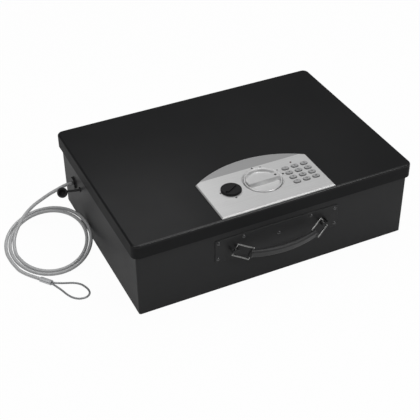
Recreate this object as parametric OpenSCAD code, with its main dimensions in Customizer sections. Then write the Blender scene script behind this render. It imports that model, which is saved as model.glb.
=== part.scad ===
// Portable electronic safe: a steel case with a hinged lid, a knob lock and a keypad on the lid's front,
// a carrying handle on the front wall and a security cable that leaves the left wall.
// The origin is on the floor under the centre of the case, +X to the right, +Y to the back.

/* [Case] */
// Width of the lid
lid_w = 440; // [420:1:470]
// Depth of the lid
lid_d = 314; // [300:1:340]
// Height of the closed safe
case_h = 125; // [118:1:150]
// Thickness of the sheet steel
sheet = 1.5; // [1:0.1:2]
// Height of the lid's skirt
skirt_h = 22; // [20:0.5:26]
// How far the lid stands out beyond the case on each side
lid_over = 5.2; // [5:0.1:6]
// Radius of the lid's upright corners
lid_corner = 10; // [8:0.5:14]
// Radius of the lid's top edge
lid_edge = 3.5; // [2:0.1:4]
// Radius of the case's upright corners
case_corner = 3; // [2.5:0.5:6]
// Width of the flange turned in along the case's rim
rim = 8; // [5:0.5:10]
// Gap between the lid and the rim that it rests over
lid_gap = 0.3; // [0.2:0.05:0.5]
// Thickness of the foam mat on the floor
mat_t = 3; // [2:0.5:5]

/* [Hinges] */
// Distance of each hinge's middle from the centre
hinge_x = 130; // [100:1:160]
// Length of each hinge
hinge_len = 60; // [40:1:80]
// Radius of the knuckles
knuckle_r = 2.4; // [2.2:0.05:2.4]
// Radius of the hinge pins
pin_r = 1.2; // [1:0.05:1.4]
// Thickness of the hinge leaves
leaf_t = 1.2; // [1:0.1:1.4]
// Height of each leaf from the pin
leaf_h = 18; // [14:0.5:20]

/* [Fascia] */
// Width of the plate on the lid
plate_w = 178; // [174:1:190]
// Distance from the lid's front edge to the plate
plate_inset = 2.6; // [1.5:0.1:4]
// Depth of the plate at its sides
plate_side = 86; // [84:1:92]
// How far the curved back edge rises above the side ends
plate_arch = 28; // [22:1:34]
// Thickness of the plate
plate_t = 2.6; // [2.4:0.1:3]
// Width of the bevel round the plate
plate_bevel = 1.4; // [0.6:0.1:1.6]
// How far the plate sits to the right of the lid's middle
plate_x = 1; // [0:0.1:1.2]
// Thickness of the dark panel along the curved back edge
band_t = 0.4; // [0.3:0.05:0.6]

/* [Knob] */
// How far the knob stands to the right of the lid's middle
knob_x = 3.2; // [2.8:0.1:3.6]
// Distance from the lid's front edge to the knob's centre
knob_in = 57.5; // [56:0.5:59]
// Diameter of the knob
knob_d = 56; // [54:0.5:57]
// Gap round the knob
knob_gap = 0.7; // [0.5:0.1:1]
// Width of the bevel in the plate round the knob
well_bevel = 2; // [1:0.1:2.4]
// Width of the knob's flat rim
knob_rim = 2.2; // [1.8:0.1:2.6]
// Width of the slope from the rim down to the sunk floor
dish_slope = 1.6; // [1:0.1:2.4]
// How far the rim stands above the plate
rim_up = 0.2; // [0.1:0.1:0.6]
// How far the grip bar stands above the plate
bar_up = 3.4; // [3:0.1:6]
// Width of the grip bar's top
bar_w = 11; // [10:0.5:13]
// How far each side of the grip bar spreads at its foot
bar_spread = 2; // [1.5:0.1:3.5]
// Radius of the spindle
spindle_r = 4; // [3.5:0.1:4.5]

/* [Key lock] */
// Distance of the key lock from the knob's centre, to the left
lock_left = 51.9; // [50.5:0.1:52.5]
// How far the key lock stands in front of the knob's centre
lock_ahead = 2.8; // [2:0.1:3.2]
// Diameter of the black cover disc
cover_d = 30; // [28:0.5:31]
// Thickness of the cover disc
cover_t = 3; // [2.6:0.1:3.4]
// Radius of the lock cylinder
cylinder_r = 9.5; // [9:0.1:10]
// Radius of the plug that the key turns
plug_r = 6.5; // [6:0.1:6.8]
// Reach of the cam under the cylinder
cam_reach = 15; // [12:0.5:15]

/* [Keypad] */
// Distance from the knob's centre to the middle column of keys
keypad_right = 60.6; // [60:0.2:61]
// Distance from the lid's front edge to the lowest row of keys
keypad_in = 32.7; // [32:0.1:34]
// Distance between the columns
key_dx = 15.3; // [15:0.1:15.5]
// Distance between the rows
key_dy = 11.8; // [11.4:0.1:12]
// Width of a key
key_w = 11; // [10:0.1:11.6]
// Depth of a key
key_d = 7.5; // [7:0.1:7.8]
// How far a key stands above the plate
key_up = 1.6; // [1.4:0.1:2]
// Travel of a key
key_travel = 1.2; // [0.8:0.1:1.2]
// Gap round a key
key_gap = 0.3; // [0.2:0.05:0.35]

/* [Lock works] */
// Distance of each bolt from the centre
bolt_x = 60; // [58:0.5:62]
// Radius of the bolts
bolt_r = 5; // [4.5:0.1:5.3]
// Height of the bolts' axis below the top of the lid
bolt_down = 20.5; // [20.5:0.1:21.5]
// Travel of the bolts
bolt_travel = 11.3; // [10.8:0.1:11.3]
// Thickness of the bolt bar
bar_t = 3; // [2.5:0.1:3]
// Radius of the drive pin's circle
crank_r = 8; // [7.6:0.1:8]
// Radius of the drive pin
crank_pin_r = 2; // [1.6:0.1:2.1]
// Half width of the keypad's circuit board
board_half = 30.4; // [30.2:0.1:32]
// Depth of the lock cover
works_d = 82; // [81:1:88]
// Height of the lock cover
works_h = 28.5; // [28.5:0.1:30]
// Distance from the lid's front edge to the lock cover
works_in = 21; // [21:0.1:22]
// Travel of the solenoid's plunger
plunger_travel = 4; // [3:0.1:4]

/* [Batteries] */
// Radius of a battery
cell_r = 7.2; // [7:0.1:7.25]
// Length of a battery
cell_len = 50.5; // [49:0.1:51]
// Wall of the battery box
box_wall = 1.5; // [1.5:0.1:2]

/* [Handle] */
// Distance of each wire loop's clip from the centre
handle_x = 71.3; // [69:0.1:73]
// Height of the clips
handle_z = 71.3; // [68:0.1:74]
// Distance of the wire loop's back bar from the case
handle_out = 8.5; // [8.4:0.1:9]
// Radius of the loop wire
wire_r = 1.2; // [1:0.05:1.3]
// Height of the grip
grip_h = 13; // [11:0.5:14]
// Thickness of the grip
grip_t = 6.4; // [5:0.2:7]
// How far the grip bows out between the loops
grip_bow = 7.6; // [5:0.2:10]
// Width of the black plate behind the handle
backplate_w = 197; // [190:1:204]
// Height of that plate
backplate_h = 39; // [38:1:42]
// Thickness of that plate
backplate_t = 1.4; // [1.2:0.1:2]

/* [Cable] */
// Diameter of the coated cable
cable_d = 5.2; // [4.8:0.1:5.4]
// Diameter of the bare end loop
loop_d = 3; // [2.4:0.1:3.2]
// Distance of the cable hole from the centre, to the back
hole_y = 105; // [95:1:115]
// Height of the cable hole
hole_z = 61; // [58:1:64]
// Diameter of the rubber bush's collar
collar_d = 19; // [18:0.5:22]
// Turns of the coil on the floor
coil_turns = 2; // [2:1:3]
// Half width of the innermost turn
coil_a = 52; // [49:0.5:52]
// Half length of the innermost turn
coil_b = 64; // [61:0.5:66]
// How much the turns spread at each side for every turn
coil_grow = 6.3; // [6:0.1:6.5]

/* [Hidden] */
$fn = 48;
FIT = 0.05;      // running gap round pins and shafts
band_edge = 0.4; // from the plate's bevel to the panel
SEAT = 0.3;      // gap between pieces that move past each other
body_w = lid_w - 2 * lid_over;
body_d = lid_d - 2 * lid_over;
front = -body_d / 2;
back = body_d / 2;
left = -body_w / 2;
under = case_h - sheet;            // underside of the lid's top
body_h = under - lid_gap;
skirt_z = case_h - skirt_h;
lid_front = -lid_d / 2;
plate_top = case_h + plate_t;
plate_front = lid_front + plate_inset;
arch_r = (pow(plate_w / 2, 2) + pow(plate_arch, 2)) / (2 * plate_arch);
knob_y = lid_front + knob_in;
well_r = knob_d / 2 + knob_gap;     // hole in the lid and the plate that the knob turns in
well_bevel_h = 1.2;
knob_z = under + SEAT;              // underside of the knob
knob_floor = 1.2;
knob_bore = 5;
knob_edge = 0.6;                    // bevel of the knob's outer edge
lock_x = knob_x - lock_left;
lock_y = knob_y - lock_ahead;

hinge_y = back + knuckle_r + SEAT;
hinge_z = skirt_z - knuckle_r - 0.6;
KNUCKLES = 5;
hinge_sides = [-hinge_x, hinge_x];

chassis_t = 2;
works_z = under - works_h;         // underside of the lock cover
works_front = lid_front + works_in;
works_back = works_front + works_d;
bolt_z = case_h - bolt_down;
bar_z = bolt_z - bar_t / 2;
bar_setback = 22;
bar_front = works_front + bar_setback;   // front face of the bar's tabs, bolts drawn back
tab_t = 3;
bolt_proud = 1.6;
bolt_tip = works_front - bolt_proud;
tenon_r = 3;                        // the bolt's reduced end, set in the bar's tab
bush_len = 9;
strike_t = 2.5;
strike_front = front + sheet + 3;
cam_t = 3;
cam_z = bar_z + bar_t + 3;         // underside of the drive disc
slot_y = knob_y + crank_r * sin(135);
plunger_y = slot_y + 19.8;
tongue_x = -24;
tongue_w = 10;
notch_deep = plunger_travel + 0.5;
bar_d = 12;
bar_past = 6;                       // from each bolt's axis to the bar's end
web_right = 20;                     // the web between the bar and its tongue holds the slot
web_back = slot_y + crank_r;
tongue_end = plunger_y + bolt_travel + 6.7;
stud_r = 2;
nut_t = 3.2;
solenoid_size = [26, 16, 2 * (bolt_z - works_z - sheet)];
solenoid_x = tongue_x - 8 - solenoid_size[0];

key_x = [for (c = [-1:1]) keypad_right + c * key_dx];
key_y = [for (r = [3:-1:0]) lid_front + keypad_in + r * key_dy];
key_foot = 1.2;
board_t = 1.6;
mat_sheet_t = 1.3;                  // the rubber mat under the keys, without its domes
dome_h = 1.5;
board_top = under - key_travel - SEAT - dome_h - mat_sheet_t;
led_at = [keypad_right - 0.7, key_y[0] + 10.9];
board_x = [keypad_right - board_half, keypad_right + board_half];
board_y = [works_front + 5, works_back - 6];
works_w = 2 * (board_x[1] + 3);
chassis_right = board_x[0];

box_w = 4 * (2 * cell_r + 0.4) + 2 * box_wall;
box_d = cell_len + 4 + 2 * box_wall;
box_h = 2 * cell_r + 1 + box_wall;
box_front = works_back + 3;
box_z = under - box_h;
door_t = 1.5;
door_y = box_front + box_d + 1.5;
door_z = box_z - 1.5;

eye_t = 1.4;
eye_h = 4;
eye_w = 7.8;                        // clear width inside the clip
clip_y = front - handle_out;
bar_half = [5.1, -1, -7.2];         // half of the loop's back bar, on the right side
loop_side = [-20, -10.4, -6.9];     // from the back bar to the bar in the grip
grip_end = [handle_x, clip_y, handle_z] + loop_side;
grip_r = (pow(grip_end[0], 2) + pow(grip_bow, 2)) / (2 * grip_bow);
grip_tilt = 15;
rivets = [[-93, 83], [93, 83], [-94, 56], [94, 56], [-54, 83], [54, 83], [2, 70.5]];
backplate_z = 50;
backplate_edge = 0.8;               // bevel round the plate's face

bush_x = left - 3;                  // outer face of the cable bush
cable_r = cable_d / 2;
coil_mid = [-279, 47.5];
COIL_TILT = 4;
COIL_START = 190;                   // where on the oval the innermost turn begins
COIL_LIFT = 18.5;                   // how high the turns lean on the case's wall
COIL_RISE = 21;                     // the direction in which they rise
COIL_END = 0.014;                   // the share of a turn that is added at both ends
COIL_RINGS = 24;
lead_points = [[bush_x, hole_y, hole_z], [bush_x - 8, hole_y, hole_z], [-234, 105.5, 59], [-244, 107, 54.5],
               [-255, 108.5, 49.5], [-266.5, 109.5, 43.5], [-277.5, 110.2, 37.5], [-287, 109.3, 31.8],
               [-295.3, 106.3, 27.2], [-302.7, 102, 23], [-309.3, 96.6, 19], [-316, 90, 15],
               [-321.7, 82.5, 11.3], [-326.3, 73.5, 8], [-329.5, 62, 5.2]];
tail_points = [[-339.3, 14, 2.7], [-333.5, 2.5, 2.7], [-325.4, -10.2, 2.9]];
ferrule_a = [-316, -22.4, 3.3];
ferrule_b = [-304.2, -37.2, 3.3];
loop_points = [[-296.5, -40.5, 2.4], [-289, -43.5, 1.7], [-275.5, -49.5, 1.6], [-267, -57, 1.6],
               [-262.7, -66.5, 1.6], [-261.2, -75.5, 1.6], [-263.5, -82.5, 1.6], [-270, -86.5, 1.6],
               [-279.5, -85, 1.6], [-287, -78.5, 1.6], [-292, -69, 1.6], [-296, -57, 1.7], [-300, -48, 2.4]];
plug_at = [-241, 83, 65];
strap_points = [[left - 0.2, 77, 66], [left - 5, 78, 65.6], [left - 10, 80, 65], [left - 15, 82, 64.4],
                [left - 19.5, 83, 64.4]];

// Flat shapes and simple solids that several pieces use

module rounded_rect(w, d, r) {
    square([w - 2 * r, d], center = true);
    square([w, d - 2 * r], center = true);
    for (sx = [-1, 1], sy = [-1, 1]) translate([sx * (w / 2 - r), sy * (d / 2 - r)]) circle(r);
}

module pill(w, d) {
    square([w - d, d], center = true);
    for (s = [-1, 1]) translate([s * (w - d) / 2, 0]) circle(d / 2);
}

module top_rounded(w, h, f) {
    translate([-w / 2, 0]) square([w, h - f]);
    translate([-w / 2 + f, 0]) square([w - 2 * f, h]);
    for (s = [-1, 1]) translate([s * (w / 2 - f), h - f]) circle(f);
}

// A box with upright corners of radius r and a top edge of radius f
module soft_box(w, d, h, r, f) {
    rotate([90, 0, 0]) linear_extrude(d - 2 * r, center = true) top_rounded(w, h, f);
    rotate([90, 0, 90]) linear_extrude(w - 2 * r, center = true) top_rounded(d, h, f);
    for (sx = [-1, 1], sy = [-1, 1]) translate([sx * (w / 2 - r), sy * (d / 2 - r), 0])
        rotate_extrude() {
            square([r, h - f]);
            square([r - f, h]);
            translate([r - f, h - f]) circle(f);
        }
}

module rod(a, b, r) {
    v = b - a;
    translate(a) rotate([0, acos(v[2] / norm(v)), atan2(v[1], v[0])]) cylinder(h = norm(v), r = r);
}

module along_x(x0, x1, y, z, r) translate([x0, y, z]) rotate([0, 90, 0]) cylinder(h = x1 - x0, r = r);
module along_y(y0, y1, x, z, r) translate([x, y0, z]) rotate([-90, 0, 0]) cylinder(h = y1 - y0, r = r);

module post(at, z0, z1, r) translate([at[0], at[1], z0]) cylinder(h = z1 - z0, r = r);

module block(x, y, z) translate([x[0], y[0], z[0]]) cube([x[1] - x[0], y[1] - y[0], z[1] - z[0]]);

// A tube swept along points, as one closed mesh; side 0 starts level with the floor
function unit(v) = v / norm(v);
function turn_at(p, i) = unit(i == 0 ? p[1] - p[0] : i == len(p) - 1 ? p[i] - p[i - 1]
                              : unit(p[i + 1] - p[i]) + unit(p[i] - p[i - 1]));
function tube_ring(p, i, r, sides) =
    let (t = turn_at(p, i), s = unit(cross(t, [0, 0, 1])), u = cross(s, t))
    [for (k = [0:sides - 1]) let (a = 360 * (k + 0.5) / sides) p[i] + r * (cos(a) * s + sin(a) * u)];

module tube(p, r, sides) {
    n = len(p);
    polyhedron(
        points = [for (i = [0:n - 1]) each tube_ring(p, i, r, sides)],
        faces = concat(
            [[for (k = [sides - 1:-1:0]) k]],
            [for (i = [0:n - 2], k = [0:sides - 1])
                let (a = i * sides + k, b = i * sides + (k + 1) % sides) [a, b, a + sides]],
            [for (i = [0:n - 2], k = [0:sides - 1])
                let (a = i * sides + k, b = i * sides + (k + 1) % sides) [b, b + sides, a + sides]],
            [[for (k = [0:sides - 1]) (n - 1) * sides + k]]));
}

// The coil: an oval spiral that opens by coil_grow for each turn

function coil_point(turn) =
    let (a = COIL_START - COIL_TILT + 360 * turn,
         u = (coil_a + coil_grow * turn) * cos(a), v = (coil_b + coil_grow * turn) * sin(a),
         x = u * cos(COIL_TILT) - v * sin(COIL_TILT), y = u * sin(COIL_TILT) + v * cos(COIL_TILT),
         rise = ((x * cos(COIL_RISE) + y * sin(COIL_RISE)) / (coil_a + coil_grow) + 1) / 2)
    [coil_mid[0] + x, coil_mid[1] + y, cable_r + 0.1 + COIL_LIFT * pow(max(0, rise), 1.5)];

coil_turn = [for (i = [0:coil_turns * COIL_RINGS]) coil_point(i / COIL_RINGS)];
coil_last = len(coil_turn) - 1;
coil_in = coil_point(-COIL_END);
coil_out = coil_point(coil_turns + COIL_END);
coil_route = concat([coil_in], coil_turn, [coil_out]);
lead_route = concat(lead_points, [2 * coil_in - coil_turn[0], coil_in]);
tail_route = concat([coil_out, 2 * coil_out - coil_turn[coil_last]], tail_points, [ferrule_a]);
ferrule_dir = unit(ferrule_b - ferrule_a);
ferrule_side = unit(cross(ferrule_dir, [0, 0, 1]));
loop_route = concat([ferrule_b - 1.6 * ferrule_side, ferrule_b - 1.7 * ferrule_side + 3 * ferrule_dir],
                    loop_points,
                    [ferrule_b + 1.7 * ferrule_side + 3 * ferrule_dir, ferrule_b + 1.6 * ferrule_side]);

coil_gap = min([for (i = [0:coil_last], j = [0:coil_last])
    if (j > i + COIL_RINGS / 2) norm(coil_turn[i] - coil_turn[j])]) - cable_d;
echo(str("least gap between the coil's turns: ", coil_gap));

// The case

module case_shell() {
    cavity_w = body_w - 2 * sheet;
    cavity_d = body_d - 2 * sheet;
    color("#26282a") difference() {
        linear_extrude(body_h) rounded_rect(body_w, body_d, case_corner);
        translate([0, 0, sheet]) linear_extrude(body_h - 2 * sheet)
            rounded_rect(cavity_w, cavity_d, case_corner - sheet);
        translate([0, 0, body_h - 2 * sheet]) linear_extrude(3 * sheet)
            rounded_rect(body_w - 2 * rim, body_d - 2 * rim, case_corner);
        along_x(left - 1, left + sheet + 1, hole_y, hole_z, collar_d / 2 - 2.5);
        for (p = rivets) along_y(front - 1, front + sheet + 1, p[0], p[1], 1.6);
    }
}

module floor_mat() {
    color("#3b3d3f") translate([0, 0, sheet]) linear_extrude(mat_t)
        rounded_rect(body_w - 2 * sheet - 2, body_d - 2 * sheet - 2, 3);
}

module strike_plate() {
    z0 = bolt_z - bolt_r - 4;
    z1 = body_h - sheet;
    hole = bolt_r + 0.4;
    color("#8d9093") difference() {
        union() {
            block([-bolt_x - 15, bolt_x + 15], [strike_front, strike_front + strike_t], [z0, z1]);
            block([-bolt_x - 15, bolt_x + 15], [front + sheet, strike_front + 0.5], [z1 - 2, z1]);
        }
        for (s = [-1, 1]) block([s * bolt_x - hole, s * bolt_x + hole],
                                [strike_front - 1, strike_front + strike_t + 1],
                                [bolt_z - hole, bolt_z + hole]);
    }
}

// The carrying handle

module handle_backplate() {
    color("#1c1d1f") difference() {
        translate([0, front, backplate_z + backplate_h / 2]) rotate([90, 0, 0]) hull() {
            linear_extrude(backplate_t - backplate_edge) rounded_rect(backplate_w, backplate_h, 3);
            linear_extrude(backplate_t)
                rounded_rect(backplate_w - 2 * backplate_edge, backplate_h - 2 * backplate_edge, 3);
        }
        for (p = rivets) along_y(front - backplate_t - 1, front + 1, p[0], p[1], 1.6);
    }
}

module handle_rivets() {
    head_y = front - backplate_t;
    color("#77797c") for (p = rivets) {
        along_y(head_y, front + sheet, p[0], p[1], 1.6);
        intersection() {
            translate([p[0], head_y + 2.2, p[1]]) sphere(3.6);
            along_y(head_y - 3, head_y, p[0], p[1], 4);
        }
        along_y(front + sheet, front + sheet + 1, p[0], p[1], 2.6);
    }
}

module handle_clips() {
    plate_y = front - backplate_t;
    far = clip_y - eye_w / 2;
    half = eye_w / 2 + eye_t;
    color("#151617") for (s = [-1, 1]) translate([s * handle_x, 0, 0]) difference() {
        union() {
            block([-half, half], [far - eye_t, plate_y], [handle_z - eye_h / 2, handle_z + eye_h / 2]);
            along_x(-half, half, clip_y, handle_z, eye_h * 0.7);
        }
        block([-eye_w / 2, eye_w / 2], [far, plate_y + 1], [handle_z - eye_h, handle_z + eye_h]);
    }
}

function handle_corner(s, out, up) =
    let (p = [handle_x, clip_y, handle_z] + (out ? [0, 0, 0] : loop_side) + (up ? -1 : 1) * bar_half)
    [s * p[0], p[1], p[2]];

module handle_loops() {
    color("#c9ccd0") for (s = [-1, 1]) {
        p = [handle_corner(s, true, true), handle_corner(s, true, false),
             handle_corner(s, false, false), handle_corner(s, false, true)];
        for (i = [0:3]) {
            rod(p[i], p[(i + 1) % 4], wire_r);
            translate(p[i]) sphere(wire_r + 0.15);
        }
    }
}

module handle_grip() {
    half_angle = asin(grip_end[0] / grip_r);
    color("#1a1b1c") difference() {
        union() {
            translate([0, grip_end[1], grip_end[2]]) rotate([grip_tilt, 0, 0])
                translate([0, grip_r - grip_bow, 0]) rotate([0, 0, -90 - half_angle])
                    rotate_extrude(angle = 2 * half_angle, $fn = 180)
                        translate([grip_r, 0]) rounded_rect(grip_t, grip_h, 2.6);
            for (s = [-1, 1]) {
                a = handle_corner(s, false, true);
                b = handle_corner(s, false, false);
                rod(a + 0.22 * (b - a), a + 0.78 * (b - a), 3.6);
            }
        }
        for (s = [-1, 1]) {
            a = handle_corner(s, false, true);
            b = handle_corner(s, false, false);
            rod(a - 0.2 * (b - a), a + 1.2 * (b - a), wire_r + FIT);
        }
    }
}

// The hinges; the case has the odd knuckles and the lid has the even ones

module leaf_case_part(step) {
    along_x(0.1, step - 0.1, hinge_y, hinge_z, knuckle_r);
    block([0.1, step - 0.1], [back, back + leaf_t], [hinge_z - 4, hinge_z]);
}

module hinge_leaf_case() {
    step = hinge_len / KNUCKLES;
    color("#3a3c3f") difference() {
        union() {
            for (x = hinge_sides, i = [0:2:KNUCKLES - 1]) translate([x - hinge_len / 2 + i * step, 0, 0])
                leaf_case_part(step);
            for (x = hinge_sides)
                block([x - hinge_len / 2, x + hinge_len / 2], [back, back + leaf_t],
                      [hinge_z - leaf_h, hinge_z - knuckle_r - SEAT]);
        }
        for (x = hinge_sides) along_x(x - hinge_len, x + hinge_len, hinge_y, hinge_z, pin_r + FIT);
        for (p = hinge_rivet_at(-1)) along_y(back - 1, back + leaf_t + 1, p[0], p[1], 1.25);
    }
}

function hinge_rivet_at(side) =
    [for (x = hinge_sides, s = [-1, 1]) [x + s * hinge_len / 3, hinge_z + side * leaf_h * 0.65]];

module hinge_leaf_lid() {
    step = hinge_len / KNUCKLES;
    y1 = lid_d / 2 - sheet;
    color("#3a3c3f") difference() {
        union() {
            for (x = hinge_sides, i = [1:2:KNUCKLES - 1]) translate([x - hinge_len / 2 + i * step, 0, 0]) {
                along_x(0.1, step - 0.1, hinge_y, hinge_z, knuckle_r);
                block([0.1, step - 0.1], [y1 - leaf_t, y1], [hinge_z, hinge_z + 4]);
            }
            for (x = hinge_sides)
                block([x - hinge_len / 2, x + hinge_len / 2], [y1 - leaf_t, y1],
                      [hinge_z + knuckle_r + SEAT, hinge_z + leaf_h]);
        }
        for (x = hinge_sides) along_x(x - hinge_len, x + hinge_len, hinge_y, hinge_z, pin_r + FIT);
        for (p = hinge_rivet_at(1)) along_y(y1 - leaf_t - 1, y1 + 1, p[0], p[1], 1.25);
    }
}

module hinge_pins() {
    color("#a8abae") for (x = hinge_sides)
        along_x(x - hinge_len / 2, x + hinge_len / 2, hinge_y, hinge_z, pin_r);
}

module hinge_rivets_case() {
    color("#77797c") for (p = hinge_rivet_at(-1)) {
        along_y(back, back + leaf_t, p[0], p[1], 1.25);
        along_y(back + leaf_t, back + leaf_t + 0.9, p[0], p[1], 2.4);
    }
}

module hinge_rivets_lid() {
    y1 = lid_d / 2 - sheet;
    color("#77797c") for (p = hinge_rivet_at(1)) {
        along_y(y1 - leaf_t, y1, p[0], p[1], 1.25);
        along_y(y1 - leaf_t - 0.9, y1 - leaf_t, p[0], p[1], 2.4);
    }
}

// The security cable and what holds it in the left wall

module cable_bush() {
    color("#151617") difference() {
        union() {
            along_x(bush_x, left, hole_y, hole_z, collar_d / 2);
            along_x(left, left + sheet, hole_y, hole_z, collar_d / 2 - 2.5);
            along_x(left + sheet, left + sheet + 2, hole_y, hole_z, collar_d / 2);
        }
        along_x(bush_x - 1, left + sheet + 3, hole_y, hole_z, cable_r + FIT);
    }
}

module stop_washer() {
    x0 = left + sheet + 2;
    color("#9a9da0") difference() {
        along_x(x0, x0 + 1.5, hole_y, hole_z, collar_d / 2);
        along_x(x0 - 1, x0 + 3, hole_y, hole_z, cable_r + FIT);
    }
}

module cable_stop() {
    x0 = left + sheet + 3.5;
    color("#9a9da0") {
        along_x(bush_x, x0, hole_y, hole_z, cable_r);
        along_x(x0, x0 + 14, hole_y, hole_z, cable_r + 2);
    }
}

module hole_plug() {
    color("#151617") {
        tube(strap_points, 1.6, 8);
        along_x(left - 1.6, left, strap_points[0][1], strap_points[0][2], 4);
        translate(plug_at) rotate([57, 0, -14]) difference() {
            union() {
                translate([0, 0, -6]) cylinder(h = 12, r = 6.8);
                translate([0, 0, 3.5]) cylinder(h = 2.5, r = 8);
            }
            translate([0, 0, -3]) cylinder(h = 10, r = 5);
        }
    }
}

module cable_lead() color("#b9bdc0") tube(lead_route, cable_r, 8);
module cable_coil() color("#b9bdc0") tube(coil_route, cable_r, 6);
module cable_tail() color("#b9bdc0") tube(tail_route, cable_r, 8);
module cable_end_loop() color("#8f9396") tube(loop_route, loop_d / 2, 8);

module cable_ferrule() {
    v = ferrule_b - ferrule_a;
    color("#c3c6c9") translate(ferrule_a) rotate([0, 0, atan2(v[1], v[0])]) rotate([90, 0, 90])
        linear_extrude(norm(v)) rounded_rect(8.4, 6.2, 3);
}

// The lid and what is fixed to it

cover_studs = [for (s = [-1, 1], y = [works_front + 8, works_back - 8]) [s * (works_w / 2 + 6.5), y]];
chassis_studs = [for (x = [-works_w / 2 + 10, chassis_right - 6],
                      y = [works_front + 9, works_back - 6]) [x, y]];
board_studs = [[board_x[0] + 3.5, board_y[0] + 3], [board_x[0] + 3.5, board_y[1] - 3.5],
               [board_x[1] - 3.5, board_y[0] + 3], [board_x[1] - 3.5, board_y[1] - 3.5]];
box_studs = [for (s = [-1, 1]) [s * (box_w / 2 + 5), box_front + box_d / 2]];

module lid_shell() {
    color("#1b1c1e") {
        difference() {
            translate([0, 0, skirt_z]) soft_box(lid_w, lid_d, skirt_h, lid_corner, lid_edge);
            translate([0, 0, skirt_z - 1])
                soft_box(lid_w - 2 * sheet, lid_d - 2 * sheet, skirt_h + 1 - sheet, lid_corner - sheet,
                         max(0.5, lid_edge - sheet));
            post([knob_x, knob_y], under - 1, case_h + 1, well_r);
            post([lock_x, lock_y], under - 1, case_h + 1, cylinder_r + FIT);
            post(led_at, under - 1, case_h + 1, 1.8);
            block([key_x[0] - key_w / 2 - 2, key_x[2] + key_w / 2 + 2],
                  [key_y[3] - key_d / 2 - 2, key_y[0] + key_d / 2 + 2], [under - 1, case_h + 1]);
        }
        for (p = cover_studs) post(p, under - sheet - nut_t - 0.8, under + 0.2, stud_r);
        for (p = chassis_studs) post(p, under - chassis_t - nut_t - 0.8, under + 0.2, stud_r);
        for (p = box_studs) post(p, under - box_wall - nut_t - 0.8, under + 0.2, stud_r);
        for (p = board_studs) {
            post(p, board_top - board_t - nut_t - 0.8, under + 0.2, stud_r);
            post(p, board_top, under + 0.2, stud_r + 1);
        }
    }
}

module lid_nuts() {
    color("#9a9da0") {
        for (p = cover_studs) nut(p, under - sheet);
        for (p = chassis_studs) nut(p, under - chassis_t);
        for (p = box_studs) nut(p, under - box_wall);
        for (p = board_studs) nut(p, board_top - board_t);
    }
}

module nut(at, z) {
    difference() {
        translate([at[0], at[1], z - nut_t]) cylinder(h = nut_t, r = 4.04, $fn = 6);
        post(at, z - nut_t - 1, z + 1, stud_r + FIT);
    }
}

module fascia_outline(inset) {
    w = plate_w - 2 * inset;
    translate([plate_x, 0]) intersection() {
        translate([-w / 2, plate_front + inset]) square([w, plate_side + plate_arch]);
        translate([0, plate_front + plate_side + plate_arch - arch_r])
            circle(arch_r - inset, $fn = 160);
    }
}

module fascia_plate() {
    color("#c4c7ca") difference() {
        hull() {
            translate([0, 0, case_h]) linear_extrude(plate_t - plate_bevel) fascia_outline(0);
            translate([0, 0, case_h]) linear_extrude(plate_t) fascia_outline(plate_bevel);
        }
        post([knob_x, knob_y], case_h - 1, plate_top + 1, well_r);
        translate([knob_x, knob_y, plate_top - well_bevel_h])
            cylinder(h = 2 * well_bevel_h, r1 = well_r, r2 = well_r + 2 * well_bevel);
        post([lock_x, lock_y], case_h - 1, plate_top + 1, cylinder_r + FIT);
        post(led_at, case_h - 1, plate_top + 1, 1.4 + FIT);
        for (x = key_x, y = key_y) translate([x, y, case_h - 1]) linear_extrude(plate_t + 2)
            pill(key_w + 2 * key_gap, key_d + 2 * key_gap);
        fascia_band_solid(1);
    }
}

module fascia_band_solid(extra) {
    chord_y = plate_front + plate_side + 3.5;
    translate([0, 0, plate_top - band_t]) linear_extrude(band_t + extra) intersection() {
        fascia_outline(plate_bevel + band_edge);
        translate([-plate_w, chord_y]) square([2 * plate_w, plate_arch]);
    }
}

module fascia_band() color("#8d9194") fascia_band_solid(0);

module spindle_bush() {
    color("#d9d9d4") difference() {
        union() {
            post([knob_x, knob_y], under - chassis_t - 2, under, spindle_r + 2);
            post([knob_x, knob_y], under - chassis_t - 2, under - chassis_t, spindle_r + 4.5);
        }
        post([knob_x, knob_y], under - 10, plate_top, spindle_r + FIT);
    }
}

module lock_cylinder() {
    color("#a8abae") difference() {
        post([lock_x, lock_y], cam_z + 3, plate_top + 1.4, cylinder_r);
        post([lock_x, lock_y], cam_z, plate_top + 3, plug_r + FIT);
    }
}

module keypad_mat() {
    color("#5a5d60") {
        block([key_x[0] - key_w / 2 - 1.5, key_x[2] + key_w / 2 + 1.5],
              [key_y[3] - key_d / 2 - 2, key_y[0] + key_d / 2 + 2], [board_top, board_top + mat_sheet_t]);
        for (x = key_x, y = key_y) post([x, y], board_top + mat_sheet_t, board_top + mat_sheet_t + dome_h, 3);
    }
}

module circuit_board() {
    color("#2f6b3c") difference() {
        block(board_x, board_y, [board_top - board_t, board_top]);
        for (p = board_studs) post(p, board_top - board_t - 1, board_top + 1, stud_r + FIT);
    }
}

module status_led() {
    color("#b03a2e") {
        post(led_at, board_top, plate_top + 0.4, 1.4);
        post(led_at, board_top, board_top + 1, 1.9);
    }
}

module lock_chassis() {
    color("#9a9da0") difference() {
        block([-works_w / 2 + 3, chassis_right], [works_front + 2, works_back - 2],
              [under - chassis_t, under]);
        post([knob_x, knob_y], under - 5, under + 1, spindle_r + 2 + FIT);
        post([lock_x, lock_y], under - 5, under + 1, cylinder_r + FIT);
        for (p = chassis_studs) post(p, under - 5, under + 1, stud_r + FIT);
    }
}

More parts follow.
